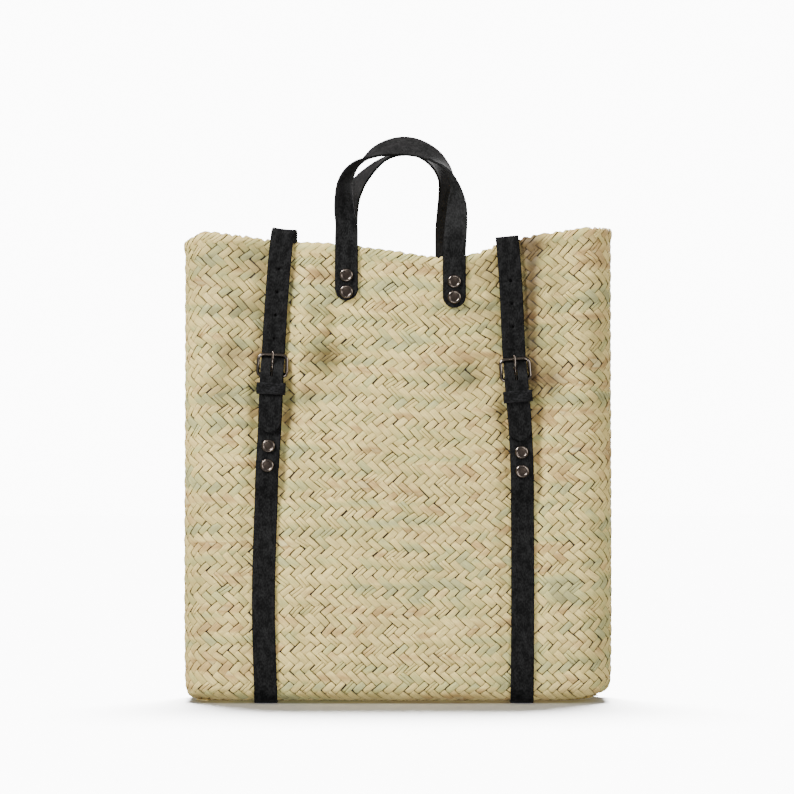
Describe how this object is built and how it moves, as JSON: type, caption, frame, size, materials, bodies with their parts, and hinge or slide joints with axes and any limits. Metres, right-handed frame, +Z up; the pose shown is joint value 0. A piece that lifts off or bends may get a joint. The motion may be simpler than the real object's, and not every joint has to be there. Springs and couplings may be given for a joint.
{
  "type": "woven backpack",
  "caption": "Soft upright backpack of herringbone-plaited palm leaf with leather carry handles and buckled leather shoulder straps, shown standing on its base.",
  "frame": {"origin": "middle of the footprint of the whole bag, on the surface that it stands on", "axes": "+Z up, -Y out of the strap side that the picture shows, +X to that view's right"},
  "size_m": [0.402, 0.1539, 0.5388],
  "materials": {
    "palm": "matt plaited palm leaf, straw with some greener strips",
    "leather": "smooth black leather with a soft sheen",
    "nickel": "dark nickel, bright on its bevelled rims"
  },
  "bodies": {
    "root": {"basket": "palm", "front_handle": "leather", "rear_handle": "leather", "left_upper_strap": "leather", "right_upper_strap": "leather", "left_lower_strap": "leather", "right_lower_strap": "leather", "left_keeper_loop": "leather", "right_keeper_loop": "leather", "left_buckle_frame": "nickel", "right_buckle_frame": "nickel", "left_buckle_prong": "nickel", "right_buckle_prong": "nickel", "front_handle_left_rivet_upper": "nickel", "front_handle_left_rivet_lower": "nickel", "front_handle_right_rivet_upper": "nickel", "front_handle_right_rivet_lower": "nickel", "rear_handle_left_rivet_upper": "nickel", "rear_handle_left_rivet_lower": "nickel", "rear_handle_right_rivet_upper": "nickel", "rear_handle_right_rivet_lower": "nickel", "left_strap_rivet_upper": "nickel", "left_strap_rivet_lower": "nickel", "right_strap_rivet_upper": "nickel", "right_strap_rivet_lower": "nickel", "left_anchor_rivet_upper": "nickel", "left_anchor_rivet_lower": "nickel", "right_anchor_rivet_upper": "nickel", "right_anchor_rivet_lower": "nickel", "left_rear_tab_rivet_upper": "nickel", "left_rear_tab_rivet_lower": "nickel", "right_rear_tab_rivet_upper": "nickel", "right_rear_tab_rivet_lower": "nickel"}
  },
  "joints": []
}
